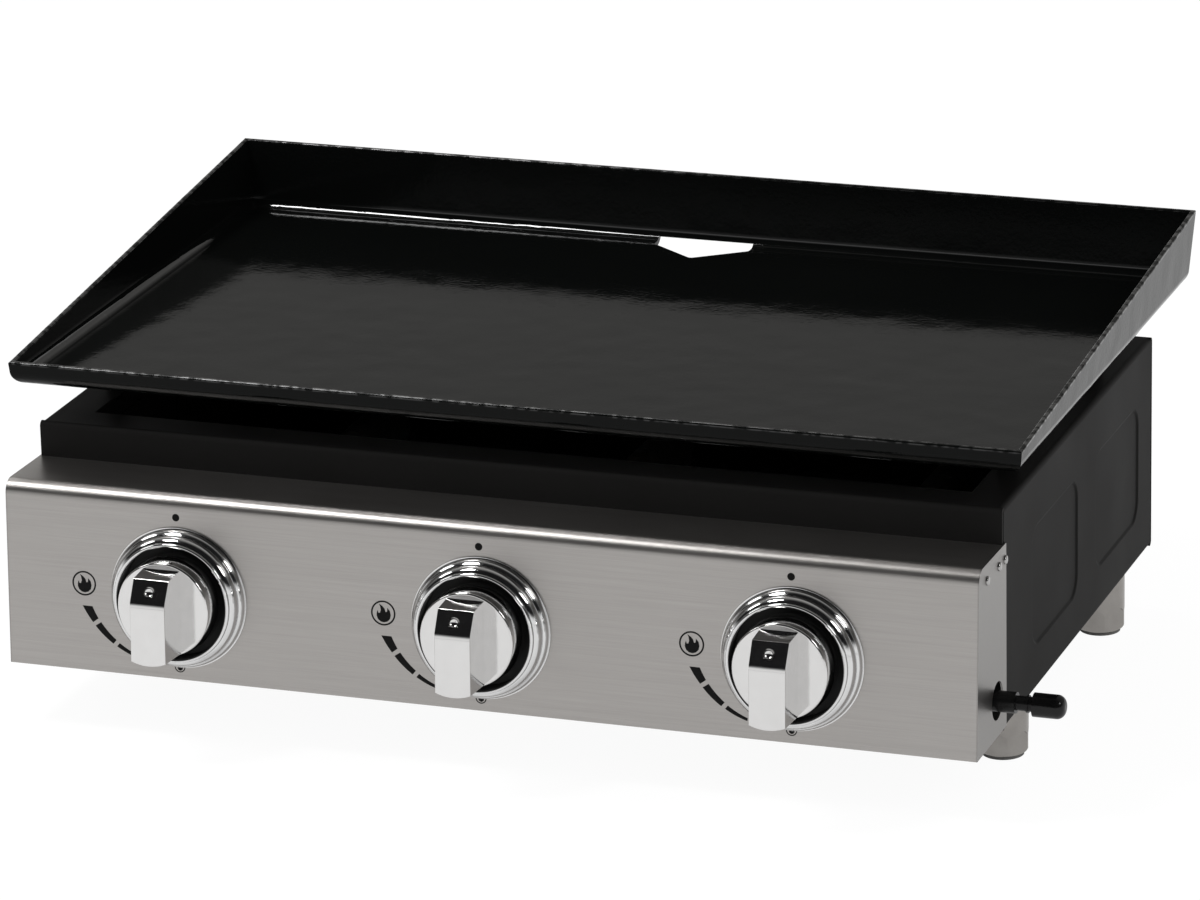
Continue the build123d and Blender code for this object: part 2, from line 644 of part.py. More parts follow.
# One tap with its bezel, knob and burner at each station
spring_front = plug_front - rest_gap
collar_front = bonnet_length + panel_sheet + rest_gap + push_travel / 4
collar_back = collar_front + stem_collar_length
knob_reach = knob_radius + cut_past
knob_bar_foot = knob_bar / 2 + (knob_height - knob_back) * tan(radians(knob_bar_draft))
facet_high = knob_height - knob_roll_drop
facet_low = facet_high - knob_facet_drop
for name, x in stations.items():
    face = Plane((x, knob_y, knob_z), x_dir=(1, 0, 0), z_dir=knob_axis)
    half = Plane((x, knob_y, knob_z), x_dir=(1, 0, 0), z_dir=-panel_up)
    edge = Plane((x, knob_y, knob_z), x_dir=panel_up, z_dir=(1, 0, 0))
    centre_line = Axis((x, knob_y, knob_z), knob_axis)

    # Bezel: chromed ring with three convex steps and a floor under the knob
    with BuildPart() as bezel:
        with BuildSketch(half):
            with BuildLine():
                lip = Polyline(
                    (bezel_bore_radius, 0),
                    (bezel_radius, 0),
                    (bezel_radius, bezel_floor),
                    (bezel_radius - bezel_lip, bezel_floor),
                )
                outer_ring = ThreePointArc(
                    lip @ 1,
                    (bezel_radius - bezel_outer_mid_in, bezel_outer_mid_height),
                    (bezel_radius - bezel_outer_in, bezel_outer_height),
                )
                outer_groove = Line(
                    outer_ring @ 1,
                    (bezel_radius - bezel_outer_in - bezel_groove, bezel_outer_height - bezel_groove / 2),
                )
                middle_ring = ThreePointArc(
                    outer_groove @ 1,
                    (bezel_radius - bezel_middle_mid_in, bezel_middle_mid_height),
                    (bezel_radius - bezel_middle_in, bezel_middle_height),
                )
                inner_groove = Line(
                    middle_ring @ 1,
                    (bezel_radius - bezel_middle_in - bezel_groove, bezel_middle_height - bezel_groove / 2),
                )
                inner_ring = ThreePointArc(
                    inner_groove @ 1,
                    (bezel_radius - bezel_crest_in, bezel_crest_height),
                    (bezel_inner_radius, bezel_inner_height),
                )
                Polyline(
                    inner_ring @ 1,
                    (bezel_inner_radius, bezel_floor),
                    (bezel_bore_radius, bezel_floor),
                    lip @ 0,
                )
            make_face()
        revolve(axis=centre_line)
        with BuildSketch(face):
            with Locations((-bezel_screw_offset, 0), (bezel_screw_offset, 0)):
                Circle(screw_radius)
        extrude(amount=bezel_floor, mode=Mode.SUBTRACT)
    bezel.part.label = f"bezel_{name}"
    export_step(bezel.part, f"parts/bezel_{name}.step")

    # Knob: round base with a grip bar across it, the bar's top end sloped and dimpled as the pointer
    with BuildPart() as knob:
        with BuildSketch(half) as barrel:
            with BuildLine():
                Polyline(
                    (0, knob_back),
                    (knob_crest_radius, knob_back),
                    (knob_crest_radius, knob_height),
                    (0, knob_height),
                    close=True,
                )
            make_face()
            crest_edge = barrel.vertices().filter_by_position(Axis.X, knob_crest_radius, knob_crest_radius)
            fillet(crest_edge.group_by(Axis.Y)[-1], knob_edge_round)
        revolve(axis=centre_line)
        with BuildSketch(half) as grip:
            with BuildLine():
                Polyline(
                    (-knob_bar_foot, knob_back),
                    (-knob_bar / 2, knob_height),
                    (knob_bar / 2, knob_height),
                    (knob_bar_foot, knob_back),
                    close=True,
                )
            make_face()
            fillet(grip.vertices().group_by(Axis.Y)[-1], knob_edge_round)
        extrude(amount=knob_reach, both=True, mode=Mode.INTERSECT)
        with BuildSketch(edge) as pointer:
            with BuildLine():
                crest = Polyline(
                    (-knob_reach, knob_back),
                    (-knob_reach, knob_height),
                    (knob_facet_start - knob_roll, knob_height),
                )
                roll = TangentArc(crest @ 1, (knob_facet_start, facet_high), tangent=crest % 1)
                Polyline(
                    roll @ 1,
                    (knob_facet_end, facet_low),
                    (knob_bar_root, knob_cheek),
                    (knob_bar_root, knob_back),
                    crest @ 0,
                )
            make_face()
            facet_ends = pointer.vertices().filter_by_position(Axis.X, knob_facet_start, knob_facet_end)
            fillet(facet_ends, knob_edge_round)
        extrude(amount=knob_reach, both=True, mode=Mode.INTERSECT)
        with BuildSketch(half) as base:
            with BuildLine():
                Polyline(
                    (0, knob_back),
                    (knob_radius, knob_back),
                    (knob_radius, knob_side),
                    (knob_cheek_radius, knob_cheek),
                    (0, knob_cheek),
                    close=True,
                )
            make_face()
            cheek_edge = base.vertices().filter_by_position(Axis.X, knob_cheek_radius, knob_cheek_radius)
            fillet(cheek_edge, knob_cheek_round)
        revolve(axis=centre_line)
        facet_mid = (knob_facet_start + knob_facet_end) / 2
        dimple_height = (facet_high + facet_low) / 2 + dimple_radius - dimple_depth
        with Locations(face * Location((0, facet_mid, dimple_height))):
            Sphere(dimple_radius, mode=Mode.SUBTRACT)
        with BuildSketch(face.offset(knob_back)):
            Circle(knob_radius - knob_wall)
            Circle(knob_hub_radius, mode=Mode.SUBTRACT)
        extrude(amount=knob_pocket_depth, mode=Mode.SUBTRACT)
        with BuildSketch(face.offset(knob_back)):
            Circle(stem_radius)
            with Locations((0, stem_flat + stem_radius)):
                Rectangle(2 * stem_radius, 2 * stem_radius, mode=Mode.SUBTRACT)
        extrude(amount=knob_bore_end - knob_back, mode=Mode.SUBTRACT)
    knob.part.label = f"knob_{name}"
    export_step(knob.part, f"parts/knob_{name}.step")

    # Stem: round rod with a flat for the knob, a collar for the spring and a square tail
    with BuildPart() as valve_stem:
        with BuildSketch(face.offset(-plug_front + push_travel)):
            Circle(stem_radius)
        extrude(amount=plug_front - push_travel + knob_bore_end)
        with BuildSketch(face.offset(stem_flat_start)):
            with Locations((0, stem_flat + stem_radius)):
                Rectangle(2 * stem_radius, 2 * stem_radius)
        extrude(amount=knob_bore_end, mode=Mode.SUBTRACT)
        with BuildSketch(face.offset(-collar_back)):
            Circle(stem_collar_radius)
        extrude(amount=stem_collar_length)
        with BuildSketch(face.offset(-stem_tail_end)):
            Rectangle(stem_tail, stem_tail)
        extrude(amount=stem_tail_end - plug_front + push_travel)
    valve_stem.part.label = f"valve_stem_{name}"
    export_step(valve_stem.part, f"parts/valve_stem_{name}.step")

    # Plug: the turning core of the tap, with a square socket for the stem's tail
    with BuildPart() as valve_plug:
        with BuildSketch(face.offset(-plug_back)):
            Circle(plug_radius)
        extrude(amount=plug_back - plug_front)
        with BuildSketch(face.offset(-plug_front)):
            Rectangle(stem_tail + 2 * running_gap, stem_tail + 2 * running_gap)
        extrude(amount=plug_front - stem_tail_end - push_travel - slide_gap, mode=Mode.SUBTRACT)
    valve_plug.part.label = f"valve_plug_{name}"
    export_step(valve_plug.part, f"parts/valve_plug_{name}.step")

    # Spring: coil between the plug and the stem's collar
    coil_length = plug_front - collar_back - 2 * spring_wire_radius - 2 * rest_gap
    with BuildPart() as valve_spring:
        with BuildLine() as coil:
            Helix(
                pitch=coil_length / spring_turns,
                height=coil_length,
                radius=spring_radius,
                center=face.offset(-spring_front + spring_wire_radius).origin,
                direction=knob_axis,
            )
        with BuildSketch(Plane(coil.line @ 0, z_dir=coil.line % 0)):
            Circle(spring_wire_radius)
        sweep(is_frenet=True)
    valve_spring.part.label = f"valve_spring_{name}"
    export_step(valve_spring.part, f"parts/valve_spring_{name}.step")

    # Tap body: bored block on a leg that straddles the pipe, with a boss for the jet behind
    with BuildPart() as valve_body:
        with BuildSketch(face.offset(-tap_back)):
            with Locations((0, tap_cradle / 2)):
                Rectangle(2 * tap_half_width, 2 * tap_half_height + tap_cradle)
        extrude(amount=tap_back - bonnet_length - panel_sheet)
        with BuildSketch(face.offset(-tap_boss_back)):
            Circle(tap_boss_radius)
        extrude(amount=tap_boss_back - tap_back)
        with BuildSketch(edge):
            with Locations(((pipe_up - tap_leg_top) / 2, pipe_along)):
                Rectangle(-tap_leg_top - pipe_up, 2 * tap_leg_half_depth)
        extrude(amount=tap_leg_half_width, both=True)
        with BuildSketch(face.offset(-bonnet_length - panel_sheet)):
            Circle(plug_radius + running_gap)
        extrude(amount=bonnet_length + panel_sheet - plug_back - slide_gap, mode=Mode.SUBTRACT)
        with BuildSketch(face.offset(-tap_boss_back)):
            Circle(spud_shank_radius)
        extrude(amount=tap_boss_back - plug_back, mode=Mode.SUBTRACT)
        with BuildSketch(face.offset(-piezo_back)):
            with Locations((0, piezo_rise)):
                Circle(piezo_radius)
        extrude(amount=piezo_back, mode=Mode.SUBTRACT)
        with BuildSketch(Plane.YZ.offset(x)):
            with Locations((pipe_y, pipe_z)):
                Circle(pipe_radius)
        extrude(amount=2 * tap_leg_half_width, both=True, mode=Mode.SUBTRACT)
        with BuildSketch(Plane((x, pipe_y, pipe_z), x_dir=(1, 0, 0), z_dir=panel_up)):
            with Locations((0, -clamp_screw_offset), (0, clamp_screw_offset)):
                Circle(screw_radius)
        extrude(amount=pipe_radius + screw_radius, mode=Mode.SUBTRACT)
    valve_body.part.label = f"valve_body_{name}"
    export_step(valve_body.part, f"parts/valve_body_{name}.step")

    # Burner: ported tube from the firebox front to the rail, shut behind and held by a tab
    with BuildPart() as burner:
        with BuildSketch(Plane.XZ.offset(-burner_back)):
            with Locations((x, burner_z)):
                Circle(burner_radius)
        extrude(amount=burner_back - burner_front)
        with BuildSketch(Plane.XZ.offset(-burner_back + burner_wall)):
            with Locations((x, burner_z)):
                Circle(burner_radius - burner_wall)
        extrude(amount=burner_back - burner_front, mode=Mode.SUBTRACT)
        with BuildSketch(Plane.XY.offset(burner_z)):
            with Locations((x, port_mid_y)):
                with GridLocations(1, port_pitch, 1, port_count):
                    SlotOverall(port_length, port_width)
        extrude(amount=burner_radius + cut_past, mode=Mode.SUBTRACT)
        with BuildSketch(Plane.XY.offset(burner_z - burner_radius)):
            with Locations((x, burner_back + (burner_tab - burner_wall) / 2)):
                Rectangle(2 * burner_tab_half_width, burner_tab + burner_wall)
            with Locations((x, burner_back + burner_tab / 2)):
                Circle(screw_radius, mode=Mode.SUBTRACT)
        extrude(amount=2 * burner_wall)
    burner.part.label = f"burner_{name}"
    export_step(burner.part, f"parts/burner_{name}.step")

    # Electrode: ceramic sleeve with a collar against the firebox front
    with BuildPart() as electrode:
        with BuildSketch(Plane.XZ.offset(half_depth + electrode_front)):
            with Locations((x + electrode_offset, piezo_mid_z)):
                Circle(electrode_radius)
        extrude(amount=-electrode_front - electrode_back)
        with BuildSketch(Plane.XZ.offset(half_depth)):
            with Locations((x + electrode_offset, piezo_mid_z)):
                Circle(electrode_collar_radius)
        extrude(amount=electrode_collar)
        with BuildSketch(Plane.XZ.offset(half_depth + electrode_front)):
            with Locations((x + electrode_offset, piezo_mid_z)):
                Circle(rod_radius)
        extrude(amount=-electrode_front - electrode_back, mode=Mode.SUBTRACT)
    electrode.part.label = f"electrode_{name}"
    export_step(electrode.part, f"parts/electrode_{name}.step")

# Valve bonnets: the plate that closes each tap and bolts up behind the panel
with BuildPart() as valve_bonnets:
    for x in stations.values():
        face = Plane((x, knob_y, knob_z), x_dir=(1, 0, 0), z_dir=knob_axis)
        with BuildSketch(face.offset(-panel_sheet)):
            RectangleRounded(2 * bonnet_half_width, 2 * bonnet_half_height, bonnet_corner)
            Circle(stem_radius + running_gap, mode=Mode.SUBTRACT)
            with Locations((-bezel_screw_offset, 0), (bezel_screw_offset, 0)):
                Circle(screw_radius, mode=Mode.SUBTRACT)
        extrude(amount=-bonnet_length)
valve_bonnets.part.label = "valve_bonnets"
export_step(valve_bonnets.part, "parts/valve_bonnets.step")

# Bezel screws: two per station, through bezel, panel and bonnet
with BuildPart() as bezel_screws:
    for x in stations.values():
        face = Plane((x, knob_y, knob_z), x_dir=(1, 0, 0), z_dir=knob_axis)
        with BuildSketch(face.offset(bezel_floor)):
            with Locations((-bezel_screw_offset, 0), (bezel_screw_offset, 0)):
                Circle(screw_head_radius)
        extrude(amount=screw_head_height)
        with BuildSketch(face.offset(bezel_floor)):
            with Locations((-bezel_screw_offset, 0), (bezel_screw_offset, 0)):
                Circle(screw_radius)
        extrude(amount=-bezel_floor - panel_sheet - bonnet_length - screw_past)
bezel_screws.part.label = "bezel_screws"
export_step(bezel_screws.part, "parts/bezel_screws.step")

# Orifice spuds: brass jets, a shank in the tap, a hexagon and a nose inside the burner's mouth
with BuildPart() as orifice_spuds:
    for x in stations.values():
        face = Plane((x, knob_y, knob_z), x_dir=(1, 0, 0), z_dir=knob_axis)
        with BuildSketch(face.offset(-tap_boss_back)):
            Circle(spud_shank_radius)
        extrude(amount=tap_boss_back - tap_back)
        with BuildSketch(face.offset(-tap_boss_back)):
            RegularPolygon(spud_hex_radius, 6)
        extrude(amount=-spud_hex_length)
        with BuildSketch(face.offset(-tap_boss_back - spud_hex_length)):
            Circle(spud_nose_radius)
        extrude(amount=-spud_nose_length)
        with BuildSketch(face.offset(-jet_tip)):
            Circle(spud_jet_radius)
        extrude(amount=jet_tip - tap_back, mode=Mode.SUBTRACT)
orifice_spuds.part.label = "orifice_spuds"
export_step(orifice_spuds.part, "parts/orifice_spuds.step")

# Manifold clamps: saddle blocks that pull each tap's leg down on the pipe
with BuildPart() as manifold_clamps:
    for x in stations.values():
        edge = Plane((x, knob_y, knob_z), x_dir=panel_up, z_dir=(1, 0, 0))
        with BuildSketch(edge):
            with Locations((pipe_up - clamp_split - clamp_depth / 2, pipe_along)):
                Rectangle(clamp_depth, 2 * tap_leg_half_depth)
        extrude(amount=tap_leg_half_width, both=True)
    with BuildSketch(Plane.YZ):
        with Locations((pipe_y, pipe_z)):
            Circle(pipe_radius)
    extrude(amount=half_width, both=True, mode=Mode.SUBTRACT)
    for x in stations.values():
        seat = Plane((x, pipe_y, pipe_z), x_dir=(1, 0, 0), z_dir=panel_up)
        with BuildSketch(seat):
            with Locations((0, -clamp_screw_offset), (0, clamp_screw_offset)):
                Circle(screw_radius)
        extrude(amount=-2 * clamp_depth, mode=Mode.SUBTRACT)
manifold_clamps.part.label = "manifold_clamps"
export_step(manifold_clamps.part, "parts/manifold_clamps.step")

# Clamp screws: two per clamp, up into the tap's leg
with BuildPart() as clamp_screws:
    for x in stations.values():
        seat = Plane((x, pipe_y, pipe_z), x_dir=(1, 0, 0), z_dir=panel_up)
        with BuildSketch(seat.offset(-clamp_split - clamp_depth)):
            with Locations((0, -clamp_screw_offset), (0, clamp_screw_offset)):
                Circle(clamp_head_radius)
        extrude(amount=-screw_head_height)
        with BuildSketch(seat.offset(-clamp_split - clamp_depth)):
            with Locations((0, -clamp_screw_offset), (0, clamp_screw_offset)):
                Circle(screw_radius)
        extrude(amount=clamp_split + clamp_depth + pipe_radius)
clamp_screws.part.label = "clamp_screws"
export_step(clamp_screws.part, "parts/clamp_screws.step")

# Burner rail: channel across the firebox that carries the burners' rear tabs
rail_top = burner_z - burner_radius
rail_front = burner_back + burner_tab - rail_depth
with BuildPart() as burner_rail:
    with BuildSketch(Plane.YZ):
        with BuildLine():
            Polyline(
                (rail_front, floor_top),
                (rail_front + rail_depth, floor_top),
                (rail_front + rail_depth, rail_top),
                (rail_front, rail_top),
            )
            offset(amount=rail_sheet, side=Side.LEFT)
        make_face()
    extrude(amount=rail_length / 2, both=True)
    with BuildSketch(Plane.XY.offset(rail_top + cut_past)):
        with Locations([(x, burner_back + burner_tab / 2) for x in stations.values()]):
            Circle(screw_radius)
    extrude(amount=-rail_sheet - 2 * cut_past, mode=Mode.SUBTRACT)
burner_rail.part.label = "burner_rail"
export_step(burner_rail.part, "parts/burner_rail.step")

# Burner screws: one down through each tab into the rail
with BuildPart() as burner_screws:
    with BuildSketch(Plane.XY.offset(rail_top + 2 * burner_wall)):
        with Locations([(x, burner_back + burner_tab / 2) for x in stations.values()]):
            Circle(screw_head_radius)
    extrude(amount=screw_head_height)
    with BuildSketch(Plane.XY.offset(rail_top + 2 * burner_wall)):
        with Locations([(x, burner_back + burner_tab / 2) for x in stations.values()]):
            Circle(screw_radius)
    extrude(amount=-2 * burner_wall - rail_sheet - screw_past)
burner_screws.part.label = "burner_screws"
export_step(burner_screws.part, "parts/burner_screws.step")

# Piezo igniters: one cradled on top of each tap, its lead leaving sideways
lead_turn = electrode_offset - piezo_radius
rod_start_y = -half_depth - electrode_front - rod_lead_out
lead_start_y = rod_start_y - lead_turn
with BuildPart() as piezo_igniters:
    for x in stations.values():
        face = Plane((x, knob_y, knob_z), x_dir=(1, 0, 0), z_dir=knob_axis)
        with BuildSketch(face.offset(-piezo_back)):
            with Locations((0, piezo_rise)):
                Circle(piezo_radius)
        extrude(amount=piezo_back - piezo_front)
        with BuildSketch(Plane.YZ.offset(x + piezo_radius - lead_sink)):
            with Locations((lead_start_y, piezo_mid_z)):
                Circle(lead_radius)
        extrude(amount=2 * lead_sink, mode=Mode.SUBTRACT)
piezo_igniters.part.label = "piezo_igniters"
export_step(piezo_igniters.part, "parts/piezo_igniters.step")

# Ignition leads: a quarter turn from each igniter to the end of its spark rod
with BuildPart() as ignition_leads:
    for x in stations.values():
        lead_start = (x + piezo_radius - lead_sink, lead_start_y, piezo_mid_z)
        lead_out = (x + piezo_radius, lead_start_y, piezo_mid_z)
        lead_end = (x + electrode_offset, rod_start_y, piezo_mid_z)
        with BuildLine() as lead_path:
            Line(lead_start, lead_out)
            RadiusArc(lead_out, lead_end, -lead_turn)
        with BuildSketch(Plane(lead_start, z_dir=lead_path.line % 0)):
            Circle(lead_radius)
        sweep(path=lead_path.line)
ignition_leads.part.label = "ignition_leads"
export_step(ignition_leads.part, "parts/ignition_leads.step")

# Spark rods: through the ceramic, then bent down towards the burner's ports
rod_bend_y = -half_depth + electrode_back + rod_reach
with BuildPart() as spark_rods:
    for x in stations.values():
        rod_x = x + electrode_offset
        rod_start = (rod_x, rod_start_y, piezo_mid_z)
        with BuildLine() as rod_path:
            FilletPolyline(
                rod_start,
                (rod_x, rod_bend_y, piezo_mid_z),
                (rod_x - rod_tip_in, rod_bend_y + rod_tip_forward, piezo_mid_z - rod_tip_drop),
                radius=2 * rod_radius,
            )
        with BuildSketch(Plane(rod_start, z_dir=(0, 1, 0))):
            Circle(rod_radius)
        sweep(path=rod_path.line)
spark_rods.part.label = "spark_rods"
export_step(spark_rods.part, "parts/spark_rods.step")

# Feet: turned stainless, six flats below and a stud above, each on a rubber pad
foot_top = body_bottom - rest_gap
for name, (fx, fy) in corners.items():
    with BuildPart() as foot:
        with BuildSketch(Plane((fx, fy, pad_thickness))):
            Circle(foot_radius)
        extrude(amount=foot_top - pad_thickness)
        fillet(foot.edges().sort_by(Axis.Z)[0], foot_bottom_round)
        fillet(foot.edges().sort_by(Axis.Z)[-1], foot_top_round)
        for turn in range(6):
            angle = radians(60 * turn + 30)
            out = Vector(cos(angle), sin(angle), 0)
            across = Vector(-sin(angle), cos(angle), 0)
            base = Vector(fx, fy, pad_thickness) + out * foot_flat
            with BuildSketch(Plane(base, x_dir=across, z_dir=out)):
                with BuildLine():
                    arch = ThreePointArc(
                        (-foot_flat_width / 2, foot_flat_side),
                        (0, foot_flat_top),
                        (foot_flat_width / 2, foot_flat_side),
                    )
                    Polyline(
                        arch @ 1,
                        (foot_flat_width / 2, -cut_past),
                        (-foot_flat_width / 2, -cut_past),
                        arch @ 0,
                    )
                make_face()
            extrude(amount=foot_radius, mode=Mode.SUBTRACT)
        with BuildSketch(Plane((fx, fy, foot_top))):
            Circle(stud_radius)
        extrude(amount=stud_length)
    foot.part.label = f"foot_{name}"
    export_step(foot.part, f"parts/foot_{name}.step")

    with BuildPart() as pad:
        with BuildSketch(Plane((fx, fy, 0))):
            Circle(foot_radius - foot_bottom_round)
        extrude(amount=pad_thickness)
    pad.part.label = f"pad_{name}"
    export_step(pad.part, f"parts/pad_{name}.step")

# Foot nuts: welded to the floor, one over each stud
with BuildPart() as foot_nuts:
    with BuildSketch(Plane.XY.offset(floor_top)):
        with Locations(list(corners.values())):
            RegularPolygon(nut_across_flats / 2, 6, major_radius=False)
            Circle(stud_radius + running_gap, mode=Mode.SUBTRACT)
    extrude(amount=nut_height)
foot_nuts.part.label = "foot_nuts"
export_step(foot_nuts.part, "parts/foot_nuts.step")

# Grease cup: open tray under the drain, hung by its side flanges, with a finger lip behind
cup_front = half_depth + cup_stand_off
cup_mid_y = cup_front + cup_depth / 2
cup_bottom = cup_rim - cup_height
with BuildPart() as grease_cup:
    with BuildSketch(Plane.XY.offset(cup_bottom)):
        with Locations((0, cup_mid_y)):
            RectangleRounded(cup_width, cup_depth, 4 * cup_sheet)
    extrude(amount=cup_height)
    fillet(grease_cup.faces().sort_by(Axis.Z)[0].edges(), 3 * cup_sheet)
    with BuildSketch(Plane.XY.offset(cup_rim - cup_sheet)):
        with Locations((0, cup_mid_y)):
            Rectangle(cup_width + 2 * cup_flange, cup_depth - 8 * cup_sheet)
        with Locations((0, cup_front + cup_depth + cup_lip / 2 - cup_sheet)):
            RectangleRounded(cup_lip_width, cup_lip + 2 * cup_sheet, 2 * cup_sheet)
    extrude(amount=cup_sheet)
    with BuildSketch(Plane.XY.offset(cup_bottom + cup_sheet)):
        with Locations((0, cup_mid_y)):
            RectangleRounded(cup_width - 2 * cup_sheet, cup_depth - 2 * cup_sheet, 3 * cup_sheet)
    extrude(amount=cup_height, mode=Mode.SUBTRACT)
grease_cup.part.label = "grease_cup"
export_step(grease_cup.part, "parts/grease_cup.step")

# Cup rails: a pair of angles behind the firebox that carry the cup's flanges
ledge_top = cup_rim - cup_sheet - rest_gap
rail_wall = cup_width / 2 + cup_flange + slide_gap
with BuildPart() as cup_rails:
    for side in (-1, 1):
        with BuildSketch(Plane.XZ.offset(-half_depth)):
            with Locations((side * (rail_wall + cup_sheet / 2), cup_rim - rail_tab_height / 2 + cup_sheet)):
                Rectangle(cup_sheet, rail_tab_height)
            with Locations((side * (rail_wall - rail_ledge / 2 + cup_sheet / 2), ledge_top - cup_sheet / 2)):
                Rectangle(rail_ledge + cup_sheet, cup_sheet)
        extrude(amount=-cup_depth)
        with BuildSketch(Plane.XZ.offset(-half_depth)):
            with Locations((side * rail_hole_x, rail_hole_z)):
                Rectangle(rail_tab, rail_tab_height)
                Circle(screw_radius, mode=Mode.SUBTRACT)
        extrude(amount=-cup_sheet)
cup_rails.part.label = "cup_rails"
export_step(cup_rails.part, "parts/cup_rails.step")

# Rail screws: one through each rail's tab into the firebox rear
with BuildPart() as rail_screws:
    with BuildSketch(Plane.XZ.offset(-half_depth - cup_sheet)):
        with Locations((-rail_hole_x, rail_hole_z), (rail_hole_x, rail_hole_z)):
            Circle(screw_head_radius)
    extrude(amount=-screw_head_height)
    with BuildSketch(Plane.XZ.offset(-half_depth - cup_sheet)):
        with Locations((-rail_hole_x, rail_hole_z), (rail_hole_x, rail_hole_z)):
            Circle(screw_radius)
    extrude(amount=cup_sheet + body_sheet + screw_past)
rail_screws.part.label = "rail_screws"
export_step(rail_screws.part, "parts/rail_screws.step")
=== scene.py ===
import math

import bmesh
import bpy
from mathutils import Matrix, Vector


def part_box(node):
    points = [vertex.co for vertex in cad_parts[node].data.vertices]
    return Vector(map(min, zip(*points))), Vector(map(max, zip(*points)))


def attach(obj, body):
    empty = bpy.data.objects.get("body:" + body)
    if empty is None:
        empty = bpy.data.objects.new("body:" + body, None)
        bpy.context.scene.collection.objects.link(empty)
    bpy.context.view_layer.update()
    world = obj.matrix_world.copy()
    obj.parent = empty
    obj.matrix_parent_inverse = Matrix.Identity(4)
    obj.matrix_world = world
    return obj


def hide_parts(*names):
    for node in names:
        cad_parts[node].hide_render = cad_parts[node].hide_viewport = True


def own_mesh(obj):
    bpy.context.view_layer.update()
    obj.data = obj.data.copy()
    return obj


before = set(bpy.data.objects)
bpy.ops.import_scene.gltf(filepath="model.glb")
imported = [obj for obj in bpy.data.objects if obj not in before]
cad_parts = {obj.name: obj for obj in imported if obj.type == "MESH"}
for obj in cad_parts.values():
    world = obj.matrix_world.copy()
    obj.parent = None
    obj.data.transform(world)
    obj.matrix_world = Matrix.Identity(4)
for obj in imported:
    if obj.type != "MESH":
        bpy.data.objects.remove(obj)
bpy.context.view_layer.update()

# Firebox: two pressed side panels, a front and a rear wall and a floor, folded from thin
# steel sheet, joined into an open box with a filled seam down each corner, and sprayed with
# satin heat-proof black paint.


class Wire:
    """One socket of a finish: sums on it add Math nodes, node() adds any other kind."""

    def __init__(self, tree, socket=None):
        self.tree = tree
        self.socket = socket

    def node(self, kind, settings, sockets, out=0):
        made = self.tree.nodes.new("ShaderNode" + kind)
        for name, value in settings.items():
            setattr(made, name, value)
        for name, value in sockets.items():
            if isinstance(value, Wire):
                self.tree.links.new(value.socket, made.inputs[name])
            else:
                made.inputs[name].default_value = value
        return Wire(self.tree, made.outputs[out] if made.outputs else None)

    def sum_of(self, operation, first, second):
        return self.node("Math", {"operation": operation}, {0: first, 1: second})

    def __add__(self, other):
        return self.sum_of("ADD", self, other)

    def __sub__(self, other):
        return self.sum_of("SUBTRACT", self, other)

    def __rsub__(self, other):
        return self.sum_of("SUBTRACT", other, self)

    def __mul__(self, other):
        return self.sum_of("MULTIPLY", self, other)

    __radd__ = __add__
    __rmul__ = __mul__

    def __abs__(self):
        return self.node("Math", {"operation": "ABSOLUTE"}, {0: self})

    def axes(self):
        """Its parts along x, y and z."""
        parts = self.node("SeparateXYZ", {}, {"Vector": self}).socket.node
        return [Wire(self.tree, part) for part in parts.outputs]

    def step(self, low, high):
        """0 below low, 1 above high and a soft change between."""
        return self.node(
            "MapRange",
            {"interpolation_type": "SMOOTHSTEP"},
            {"Value": self, "From Min": low, "From Max": high},
        )

    def tint(self, low, high):
        """A colour that goes from low to high as this value goes from 0 to 1."""
        first, last = [end if isinstance(end, Wire) else (*end, 1) for end in (low, high)]
        return self.node("Mix", {"data_type": "RGBA"}, {0: self, 6: first, 7: last}, 2)

    def bump(self, depth):
        """Relief from this height: depth is how deep 1 would be, in metres."""
        sockets = {"Strength": 1.0, "Distance": depth, "Height": self}
        return self.node("Bump", {}, sockets, "Normal")


def new_finish(name):
    """An empty material, and the object's own coordinates in metres to build it on."""
    material = bpy.data.materials.new(name)
    material.use_nodes = True
    material.node_tree.nodes.clear()
    return material, Wire(material.node_tree).node("TexCoord", {}, {}, "Object")


def grain(place, size, stretch=(1, 1, 1), detail=3.0):
    """Cloudy variation about size metres across, drawn out by stretch along each axis."""
    scale = [1 / (size * long) for long in stretch]
    where = place.node("Mapping", {}, {"Vector": place, "Scale": scale})
    return place.node("TexNoise", {}, {"Vector": where, "Scale": 1.0, "Detail": detail}, "Fac")


def close(place, sockets):
    """Ends a finish: one principled shader, with the sockets given."""
    shader = place.node("BsdfPrincipled", {}, sockets)
    place.node("OutputMaterial", {}, {"Surface": shader})


def dress(material, *names):
    """Gives CAD nodes a finish."""
    for name in names:
        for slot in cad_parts[name].material_slots:
            slot.material = material


def make_piece(bm, name, material):
    """A new object of one finish, with its faces turned outward."""
    bmesh.ops.recalc_face_normals(bm, faces=bm.faces)
    mesh = bpy.data.meshes.new(name)
    bm.to_mesh(mesh)
    bm.free()
    mesh.materials.append(material)
    piece = bpy.data.objects.new(name, mesh)
    bpy.context.scene.collection.objects.link(piece)
    return piece


